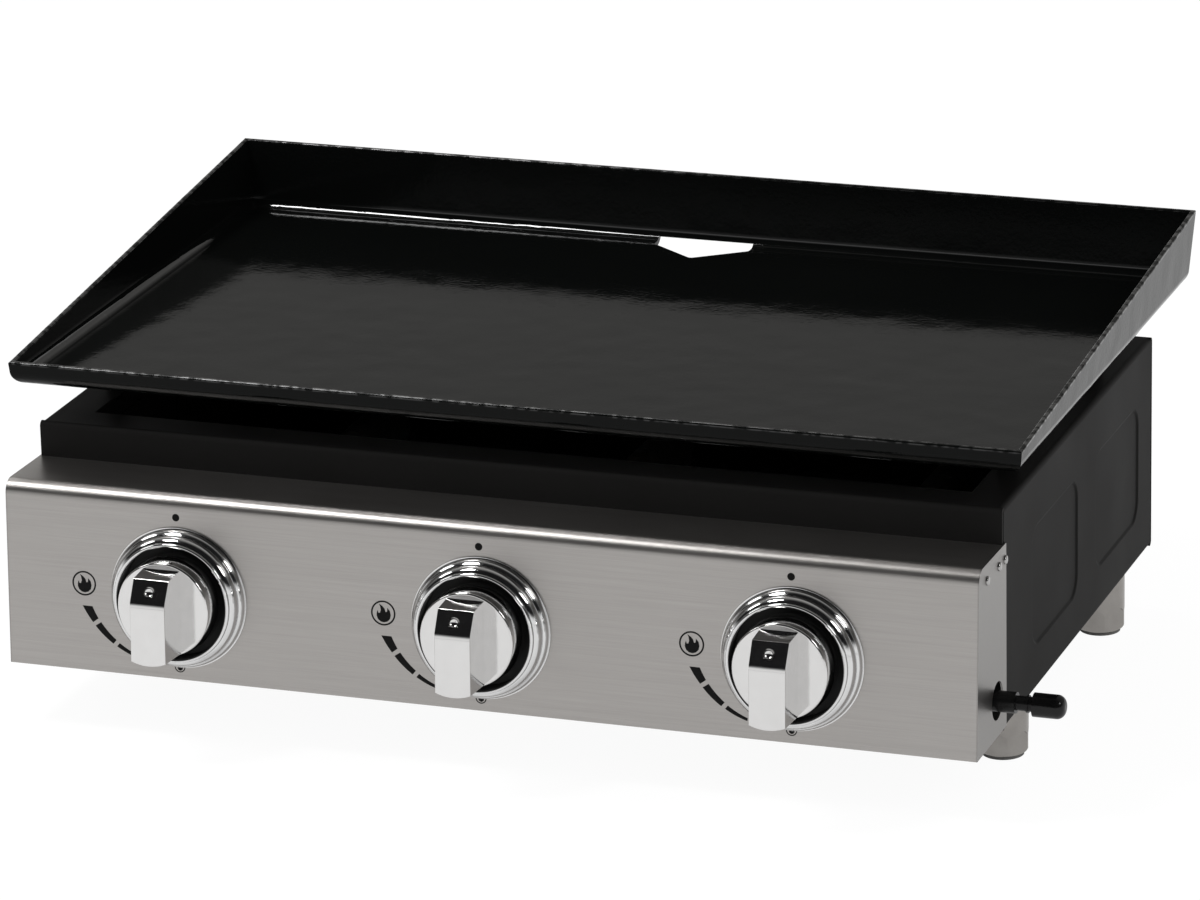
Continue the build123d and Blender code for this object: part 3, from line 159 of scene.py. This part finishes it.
firebox_paint, place = new_finish("firebox_paint")
cloud = grain(place, 0.06)
peel = grain(place, 0.0011, detail=2.0)
close(place, {
    "Base Color": cloud.tint((0.0085, 0.0082, 0.0079), (0.0115, 0.0111, 0.0107)),
    "Roughness": 0.48 + 0.14 * cloud,
    "Specular IOR Level": 0.045,
    "Normal": peel.bump(0.00006),
})
dress(firebox_paint, "side_panel_left", "side_panel_right", "firebox_front", "firebox_rear",
      "firebox_floor")
mm = 0.001
sheet, overlap, crown = 1.2 * mm, 0.1 * mm, 0.15 * mm
side_low, side_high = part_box("side_panel_right")
front_low, front_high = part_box("firebox_front")
rear_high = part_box("firebox_rear")[1]
outer, inner = front_high[0] - crown, front_high[0] - sheet
seam_ends = (front_low[2] + sheet - overlap, front_high[2] - sheet + overlap)
slits = ((front_low[1] + sheet, side_low[1]), (rear_high[1] - sheet, side_high[1]))
bm = bmesh.new()
for side in (-1, 1):
    for wall, panel_end in slits:
        tuck = math.copysign(overlap, panel_end - wall)
        near, middle, far = wall - tuck, (wall + panel_end) / 2, panel_end + tuck
        outline = [(outer - crown, near), (outer, middle), (outer - crown, far),
                   (inner, far), (inner - crown, middle), (inner, near)]
        foot, head = [[bm.verts.new((side * x, y, z)) for x, y in outline] for z in seam_ends]
        for i in range(len(outline)):
            bm.faces.new((foot[i - 1], foot[i], head[i], head[i - 1]))
        bm.faces.new(foot)
        bm.faces.new(head)
seams = make_piece(bm, "corner_seams", firebox_paint)
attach(seams, "chassis")

# Feet: four feet turned from steel bar and left satin, with six arched flats milled low down.
# Each has a stud that a zinc nut on the firebox floor takes, and a grey rubber pad under it.

foot_satin, place = new_finish("foot_satin")
rings = grain(place, 0.0004, (60, 60, 1))
haze = grain(place, 0.012)
close(place, {
    "Base Color": haze.tint((0.27, 0.255, 0.24), (0.39, 0.375, 0.355)),
    "Metallic": 1.0,
    "Roughness": 0.17 + 0.12 * rings,
    "Normal": rings.bump(0.00003),
})
pad_rubber, place = new_finish("pad_rubber")
pores = grain(place, 0.0006)
close(place, {
    "Base Color": pores.tint((0.11, 0.108, 0.105), (0.15, 0.147, 0.143)),
    "Roughness": 0.65 + 0.25 * pores,
    "Normal": pores.bump(0.00008),
})
zinc_plate, place = new_finish("zinc_plate")
spangle = place.node("TexVoronoi", {}, {"Vector": place, "Scale": 900.0}, "Distance")
close(place, {
    "Base Color": spangle.tint((0.62, 0.62, 0.62), (0.54, 0.55, 0.56)),
    "Metallic": 1.0,
    "Roughness": 0.26 + 0.2 * spangle,
})
corners = ("front_left", "front_right", "rear_left", "rear_right")
dress(foot_satin, *["foot_" + corner for corner in corners])
dress(pad_rubber, *["pad_" + corner for corner in corners])
dress(zinc_plate, "foot_nuts")

# Burners: three tubes of mill-finish stainless steel with slots cut across them for ports,
# screwed to a black steel rail, each with a ceramic-sleeved spark electrode beside its ports.

stations = ("left", "mid", "right")
burner_steel, place = new_finish("burner_steel")
drawn = grain(place, 0.0007, (1, 60, 1))
blush = grain(place, 0.035).step(0.5, 0.75)
close(place, {
    "Base Color": blush.tint((0.5, 0.49, 0.47), (0.47, 0.42, 0.34)),
    "Metallic": 1.0,
    "Roughness": 0.3 + 0.16 * drawn,
    "Normal": drawn.bump(0.00003),
})
rail_paint, place = new_finish("rail_paint")
dusting = grain(place, 0.02)
close(place, {
    "Base Color": dusting.tint((0.02, 0.02, 0.0195), (0.034, 0.034, 0.033)),
    "Roughness": 0.45 + 0.2 * dusting,
    "Normal": grain(place, 0.0009).bump(0.00006),
})
glazed_ceramic, place = new_finish("glazed_ceramic")
glaze = grain(place, 0.002)
close(place, {
    "Base Color": glaze.tint((0.8, 0.78, 0.73), (0.88, 0.87, 0.84)),
    "Roughness": 0.18 + 0.12 * glaze,
    "Normal": glaze.bump(0.00004),
})
turned_steel, place = new_finish("turned_steel")
lathe = grain(place, 0.0004, (1, 40, 1))
close(place, {
    "Base Color": lathe.tint((0.5, 0.5, 0.49), (0.6, 0.6, 0.59)),
    "Metallic": 1.0,
    "Roughness": 0.28 + 0.15 * lathe,
    "Normal": lathe.bump(0.00002),
})
dress(burner_steel, *["burner_" + side for side in stations])
dress(rail_paint, "burner_rail")
dress(zinc_plate, "burner_screws")
dress(glazed_ceramic, *["electrode_" + side for side in stations])
dress(turned_steel, "spark_rods")

# Gas line: a painted steel pipe along the front feeds three cast aluminium taps clamped to it,
# with brass plugs and jets; each tap carries a piezo igniter and its lead.

pipe_paint, place = new_finish("pipe_paint")
mottle = grain(place, 0.008)
close(place, {
    "Base Color": mottle.tint((0.004, 0.004, 0.004), (0.008, 0.008, 0.008)),
    "Roughness": 0.16 + 0.14 * mottle,
    "Specular IOR Level": 0.2,
    "Normal": grain(place, 0.0008).bump(0.00005),
})
cast_aluminium, place = new_finish("cast_aluminium")
sand = grain(place, 0.0007)
close(place, {
    "Base Color": sand.tint((0.55, 0.55, 0.55), (0.68, 0.68, 0.68)),
    "Metallic": 1.0,
    "Roughness": 0.42 + 0.2 * sand,
    "Normal": sand.bump(0.00008),
})
turned_brass, place = new_finish("turned_brass")
tarnish = grain(place, 0.006).step(0.45, 0.75)
close(place, {
    "Base Color": tarnish.tint((0.72, 0.55, 0.25), (0.58, 0.42, 0.18)),
    "Metallic": 1.0,
    "Roughness": 0.22 + 0.16 * tarnish,
})
igniter_plastic, place = new_finish("igniter_plastic")
mould = grain(place, 0.0008)
close(place, {
    "Base Color": mould.tint((0.026, 0.026, 0.026), (0.036, 0.036, 0.036)),
    "Roughness": 0.48 + 0.2 * mould,
    "Normal": mould.bump(0.00004),
})
lead_silicone, place = new_finish("lead_silicone")
chalk = grain(place, 0.004)
close(place, {
    "Base Color": chalk.tint((0.5, 0.065, 0.04), (0.6, 0.1, 0.065)),
    "Roughness": 0.5 + 0.2 * chalk,
})
dress(pipe_paint, "manifold_pipe")
dress(zinc_plate, "manifold_clamps", "clamp_screws")
dress(cast_aluminium, "valve_bonnets", *["valve_body_" + side for side in stations])
dress(turned_brass, "orifice_spuds", *["valve_plug_" + side for side in stations])
dress(turned_steel, *["valve_stem_" + side for side in stations])
dress(igniter_plastic, "piezo_igniters")
dress(lead_silicone, "ignition_leads")

# Tap springs: five turns of spring steel wire round each stem, between the plug and the stem's
# collar. Each rides on its plug and turns with it.

station_x = {"left": -181.6 * mm, "mid": 0.0, "right": 181.6 * mm}
panel_lean = math.atan2(5.0, 108.0)
panel_out = Vector((0, -math.cos(panel_lean), math.sin(panel_lean)))
panel_up = Vector((0, math.sin(panel_lean), math.cos(panel_lean)))
knob_place = Vector((0, -213.045, 86.0)) * mm
spring_steel, place = new_finish("spring_steel")
blueing = grain(place, 0.003)
close(place, {
    "Base Color": blueing.tint((0.42, 0.42, 0.43), (0.56, 0.55, 0.54)),
    "Metallic": 1.0,
    "Roughness": 0.24 + 0.14 * blueing,
})
wire_radius = 0.45 * mm
coil_radius = 5.3 * mm
coil_turns = 5
coil_seat = 19.95 * mm
coil_length = 13.35 * mm
steps_per_turn = 28
wire_sides = 10
round_wire = [2 * math.pi * k / wire_sides for k in range(wire_sides)]
for side, x in station_x.items():
    seat = Vector((x, 0, 0)) + knob_place - coil_seat * panel_out
    bm = bmesh.new()
    hoops = []
    for i in range(coil_turns * steps_per_turn + 1):
        turn = 2 * math.pi * i / steps_per_turn
        rise = wire_radius + (coil_length - 2 * wire_radius) * turn / (2 * math.pi * coil_turns)
        spoke = math.cos(turn) * Vector((1, 0, 0)) + math.sin(turn) * panel_up
        middle = seat + rise * panel_out + coil_radius * spoke
        hoops.append([
            bm.verts.new(middle + wire_radius * (math.cos(a) * spoke + math.sin(a) * panel_out))
            for a in round_wire
        ])
    for near, far in zip(hoops, hoops[1:]):
        for k in range(wire_sides):
            bm.faces.new((near[k - 1], near[k], far[k], far[k - 1]))
    bm.faces.new(hoops[0])
    bm.faces.new(reversed(hoops[-1]))
    spring = make_piece(bm, "tap_spring_" + side, spring_steel)
    spring.data.shade_smooth()
    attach(spring, "plug_" + side)
    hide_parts("valve_spring_" + side)
    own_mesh(spring)

# Gas inlet: a black painted threaded end on the pipe, closed by a push-on cap of soft
# gloss vinyl that keeps dirt out until the hose is fitted.

cap_vinyl, place = new_finish("cap_vinyl")
smear = grain(place, 0.006)
close(place, {
    "Base Color": smear.tint((0.003, 0.003, 0.003), (0.006, 0.006, 0.006)),
    "Roughness": 0.08 + 0.1 * smear,
    "Specular IOR Level": 0.25,
    "Normal": grain(place, 0.003).bump(0.00012),
})
dress(pipe_paint, "inlet_fitting")
dress(cap_vinyl, "inlet_cap")

# Control panel: one sheet of stainless steel brushed along its length, bent over at the top
# and folded in at both ends, riveted and screwed to the firebox.

panel_brushed, place = new_finish("panel_brushed")
fine = grain(place, 0.00028, (120, 1, 1), 4.0)
broad = grain(place, 0.0016, (90, 1, 1), 4.0)
cloud = grain(place, 0.09)
streak = 0.6 * fine + 0.4 * broad
face = streak.tint((0.28, 0.267, 0.256), (0.44, 0.423, 0.409))
# Painted shade: the folded ends take a darker tint of the same brushed steel, so they read darker
# as shade would make them.
painted_end_shade = streak.tint((0.22, 0.211, 0.203), (0.32, 0.311, 0.302))
end_fold = (0.2858, 0.2868)
across = place.axes()[0]
folded = abs(across).step(*end_fold)
close(place, {
    "Base Color": folded.tint(face, painted_end_shade),
    "Metallic": 1.0,
    "Roughness": 0.24 + 0.14 * streak + 0.06 * cloud,
    "Normal": streak.bump(0.00008),
})
dress(panel_brushed, "control_panel")
rivet_steel, place = new_finish("rivet_steel")
scuff = grain(place, 0.0012)
close(place, {
    "Base Color": scuff.tint((0.3, 0.295, 0.29), (0.46, 0.455, 0.45)),
    "Metallic": 1.0,
    "Roughness": 0.12 + 0.1 * scuff,
})
dress(rivet_steel, "panel_rivets")
dress(zinc_plate, "panel_screws")

# Panel print: black ink screened on the steel round each knob, an OFF dot above, a ringed
# flame for high, three dashes that taper down the turn and a small ringed flame for low.

panel_ink, place = new_finish("panel_ink")
screen = grain(place, 0.0005)
close(place, {
    "Base Color": screen.tint((0.003, 0.003, 0.003), (0.006, 0.006, 0.006)),
    "Roughness": 0.5 + 0.2 * screen,
    "Specular IOR Level": 0.1,
})
ink_sunk, ink_proud = -0.01, 0.05
round_points = 56
dash_steps = 8


def stamp(bm, outer, centre, hole=()):
    """One flat patch of ink from an outline in millimetres, with or without a hole in it."""
    def ring(points, height):
        return [bm.verts.new(centre + mm * (Vector((u, 0, 0)) + v * panel_up + height * panel_out))
                for u, v in points]
    loops = [(ring(line, ink_proud), ring(line, ink_sunk)) for line in (outer, hole) if line]
    for top, under in loops:
        for i in range(len(top)):
            bm.faces.new((top[i - 1], under[i - 1], under[i], top[i]))
    if hole:
        (top, under), (top_hole, under_hole) = loops
        for i in range(len(top)):
            bm.faces.new((top[i - 1], top[i], top_hole[i], top_hole[i - 1]))
            bm.faces.new((under[i], under[i - 1], under_hole[i - 1], under_hole[i]))
    else:
        bm.faces.new(loops[0][0])
        bm.faces.new(reversed(loops[0][1]))


def circle(u, v, radius):
    """A round outline."""
    turn = 2 * math.pi / round_points
    return [(u + radius * math.cos(i * turn), v + radius * math.sin(i * turn))
            for i in range(round_points)]


def dash(outer_from, inner_from, inner_to, outer_to):
    """A tapered dash between four corners given as radius and angle from the knob."""
    def sweep(start, end):
        shares = [i / dash_steps for i in range(dash_steps + 1)]
        steps = [[a + (b - a) * share for a, b in zip(start, end)] for share in shares]
        return [(r * math.cos(math.radians(a)), r * math.sin(math.radians(a))) for r, a in steps]
    return sweep(outer_from, outer_to) + sweep(inner_to, inner_from)


flame = [(-2.45, 5.3), (-1.75, 3.7), (-1.45, 1.8), (-1.95, 0.0), (-2.85, -0.1), (-3.3, 1.5),
         (-3.85, 0.0), (-3.98, -1.7), (-3.2, -3.75), (-1.55, -5.05), (0.5, -5.4), (2.55, -4.7),
         (4.05, -3.1), (4.5, -0.85), (4.0, 1.5), (2.4, 3.3), (2.45, 2.15), (2.2, 0.95),
         (1.4, 0.7), (0.85, 2.6), (-0.5, 4.1)]
dot_at, dot_radius = (-1.0, 46.9), 2.2
high_at, high_radius, ring_line = (-58.3, 2.8), 7.3, 0.95
low_at, low_radius, low_line, low_scale = (-0.6, -41.3), 3.25, 0.6, 0.4
dashes = (
    dash((60.5, 189.9), (54.6, 191.0), (52.95, 199.1), (57.0, 200.4)),
    dash((56.35, 202.7), (52.2, 201.8), (48.9, 216.6), (51.9, 217.4)),
    dash((51.0, 220.1), (48.4, 219.5), (45.1, 235.0), (46.6, 236.0)),
)
for side, x in station_x.items():
    bm = bmesh.new()
    centre = Vector((x, 0, 0)) + knob_place
    stamp(bm, circle(*dot_at, dot_radius), centre)
    stamp(bm, circle(*high_at, high_radius), centre, circle(*high_at, high_radius - ring_line))
    stamp(bm, [(high_at[0] + u, high_at[1] + v) for u, v in flame], centre)
    stamp(bm, circle(*low_at, low_radius), centre, circle(*low_at, low_radius - low_line))
    stamp(bm, [(low_at[0] + low_scale * u, low_at[1] + low_scale * v) for u, v in flame], centre)
    for outline in dashes:
        stamp(bm, outline, centre)
    marks = make_piece(bm, "panel_print_" + side, panel_ink)
    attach(marks, "chassis")

# Bezels: stepped rings spun from steel sheet and chromed outside, each held to the panel round
# its tap by two small screws under the knob. Inside the bore they are painted near-black as
# painted shade of the deep gap round the knob.

bezel_chrome, place = new_finish("bezel_chrome")
breath = grain(place, 0.014)
across, _, up = place.axes()
half_pitch = station_x["right"] / 2
aside = place.node("Math", {"operation": "WRAP"}, {0: across, 1: half_pitch, 2: -half_pitch})
spoke = place.node("CombineXYZ", {}, {"X": aside, "Z": up - knob_place.z})
from_axis = place.node("VectorMath", {"operation": "LENGTH"}, {0: spoke}, "Value")
bore_edge = (0.033, 0.0334)
outside = from_axis.step(*bore_edge)
chromed = breath.tint((0.62, 0.62, 0.62), (0.7, 0.7, 0.7))
# Painted shade: inside the bore edge the ring is coloured near-black and non-metallic, standing in
# for the shade of the gap round the knob.
painted_gap_shade = breath.tint((0.004, 0.004, 0.004), (0.007, 0.007, 0.007))
close(place, {
    "Base Color": outside.tint(painted_gap_shade, chromed),
    "Metallic": outside,
    "Roughness": 0.6 + 0.06 * breath - 0.55 * outside,
    "Normal": grain(place, 0.009).bump(0.00006),
})
dress(bezel_chrome, *["bezel_" + side for side in stations])
dress(zinc_plate, "bezel_screws")

# Knobs: one-piece cast knobs with a grip bar across a round skirt, polished and chromed, a
# sloped facet with a dimple at the top of the bar for a pointer, pushed on the tap stem.

knob_chrome, place = new_finish("knob_chrome")
handled = grain(place, 0.01)
ripple = grain(place, 0.012, detail=1.0)
close(place, {
    "Base Color": handled.tint((0.62, 0.615, 0.61), (0.68, 0.675, 0.67)),
    "Metallic": 1.0,
    "Roughness": 0.06 + 0.08 * handled,
    "Normal": ripple.bump(0.00008),
})
dress(knob_chrome, *["knob_" + side for side in stations])

# Griddle plate: a tray of 3 mm steel folded up on all sides, high at the back and low at the
# front, welded at the corners and dipped in gloss black enamel; it lifts off on four pegs.

enamel, place = new_finish("enamel")
peel = grain(place, 0.0026, detail=2.0)
sag = grain(place, 0.03, detail=1.0)
cloud = grain(place, 0.12)
across, along, up = place.axes()
rim_slope, rim_height, rim_edge = 0.0834, 0.2165, (-0.0018, -0.0008)
tray_side, tray_front, tray_back = (0.2972, 0.2982), (-0.1688, -0.1678), (0.1935, 0.1945)
bend_low, bend_high = (0.1913, 0.1925), (0.1965, 0.1985)
below_rim = up - rim_slope * along - rim_height
rim = below_rim.step(*rim_edge)
beads = grain(place, 0.005, detail=1.0).step(0.4, 0.6)
between_sides = 1 - abs(across).step(*tray_side)
inside = between_sides * along.step(*tray_front) * (1 - along.step(*tray_back))
bend = inside * up.step(*bend_low) * (1 - up.step(*bend_high))
close(place, {
    "Base Color": cloud.tint((0.0018, 0.0021, 0.002), (0.003, 0.0033, 0.0031)),
    "Roughness": 0.05 + 0.06 * peel,
    "Specular IOR Level": 0.085,
    "Coat Weight": bend + rim * beads,
    "Normal": (0.15 * peel + 0.85 * sag).bump(0.0004),
})
dress(enamel, "griddle_plate", "plate_pegs")

# Grease cup: a pressed steel drawer behind the firebox that catches the fat from the drain
# slot; it hangs by its rim on two folded black rails and pulls out to the back.

cup_steel, place = new_finish("cup_steel")
pressed = grain(place, 0.0008, (40, 1, 1))
rub = grain(place, 0.02)
close(place, {
    "Base Color": rub.tint((0.52, 0.52, 0.51), (0.62, 0.62, 0.61)),
    "Metallic": 1.0,
    "Roughness": 0.26 + 0.12 * pressed + 0.08 * rub,
    "Normal": pressed.bump(0.00003),
})
dress(cup_steel, "grease_cup")
dress(rail_paint, "cup_rails")
dress(zinc_plate, "rail_screws")

# Studio: a plain white floor, an even white surround and four soft lamps. The surround is
# dimmer overhead where only reflections see it, as a studio ceiling is.

floor_reach = 8.0
bm = bmesh.new()
bmesh.ops.create_grid(bm, x_segments=4, y_segments=4, size=floor_reach)
mesh = bpy.data.meshes.new("floor")
bm.to_mesh(mesh)
bm.free()
floor = bpy.data.objects.new("floor", mesh)
bpy.context.scene.collection.objects.link(floor)
white_floor = bpy.data.materials.new("white_floor")
white_floor.use_nodes = True
white_floor.node_tree.nodes.clear()
start = Wire(white_floor.node_tree)


def seen_direct(start):
    """Which rays show the studio itself: those to the eye, and those in metal or glass."""
    eye, metal, glass = [start.node("LightPath", {}, {}, kind)
                         for kind in ("Is Camera Ray", "Is Glossy Ray", "Is Transmission Ray")]
    return eye, start.node("Math", {"operation": "MINIMUM"}, {0: metal + glass, 1: 1.0})


glow_to_eye = 0.92
glow_in_metal = 0.5
paper = start.node("BsdfDiffuse", {}, {"Color": (0.9, 0.9, 0.9, 1)})
glow = start.node("Emission", {}, {"Color": (1, 1, 1, 1), "Strength": 1.03})
eye, mirrored = seen_direct(start)
shown = start.node(
    "MixShader", {}, {0: glow_to_eye * eye + glow_in_metal * mirrored, 1: paper, 2: glow}
)
start.node("OutputMaterial", {}, {"Surface": shown})
mesh.materials.append(white_floor)

surround = bpy.data.worlds.new("surround")
surround.use_nodes = True
surround.node_tree.nodes.clear()
bpy.context.scene.world = surround
start = Wire(surround.node_tree)
ambient = 0.62
heading = start.node("TexCoord", {}, {}, "Generated")
_, along, up = heading.axes()
ceiling_turn, ceiling_edge = (-0.25, 0.35), (0.06, 0.24)
in_metal = start.node("LightPath", {}, {}, "Is Glossy Ray")
ceiling = along.step(*ceiling_turn).tint((0.01, 0.01, 0.0105), (0.36, 0.355, 0.345))
overhead = up.step(*ceiling_edge) * in_metal
wall = overhead.tint((1, 1, 1), ceiling)
even = start.node("Background", {}, {"Color": (1, 1, 1, 1), "Strength": ambient})
view = start.node("Background", {}, {"Color": wall, "Strength": 1.0})
eye, mirrored = seen_direct(start)
both = start.node("MixShader", {}, {0: eye + mirrored, 1: even, 2: view})
start.node("OutputWorld", {}, {"Surface": both})


def softbox(name, place, aim, wide, deep, power):
    """One soft lamp, turned to face a point."""
    light = bpy.data.lights.new(name, "AREA")
    light.shape = "RECTANGLE"
    light.size = wide
    light.size_y = deep
    light.energy = power
    lamp = bpy.data.objects.new(name, light)
    lamp.location = place
    lamp.rotation_euler = (Vector(aim) - Vector(place)).to_track_quat("-Z", "Y").to_euler()
    lamp.visible_camera = False
    bpy.context.scene.collection.objects.link(lamp)


softbox("softbox_over", (-1.05, -0.75, 2.18), (0, -0.05, 0.1), 0.42, 0.6, 24)
softbox("softbox_behind", (-0.85, 0.95, 1.95), (0, 0, 0.15), 0.5, 0.4, 5)
softbox("softbox_right", (1.9, -0.7, 1.5), (0, 0, 0.15), 0.6, 0.6, 9)
softbox("softbox_left", (-2.0, -0.4, 1.6), (0, 0, 0.15), 0.6, 0.6, 6)

# Camera: stands where the photograph was taken from, with its lens and turn and no shift.

camera_place = Vector((1.22564, -3.45941, 1.35575))
camera_right = Vector((0.94448241, 0.32786266, -0.02142544))
camera_up = Vector((-0.08540676, 0.30795538, 0.94755959))
camera_back = Vector((0.31726749, -0.89312349, 0.31886013))
lens = bpy.data.cameras.new("camera")
lens.sensor_width = 36.0
lens.lens = 199.2645
lens.clip_start = 0.05
lens.clip_end = 60.0
camera = bpy.data.objects.new("camera", lens)
turned = Matrix((camera_right, camera_up, camera_back)).transposed()
camera.matrix_world = Matrix.Translation(camera_place) @ turned.to_4x4()
bpy.context.scene.collection.objects.link(camera)
bpy.context.scene.camera = camera
bpy.context.scene.view_settings.view_transform = "Standard"
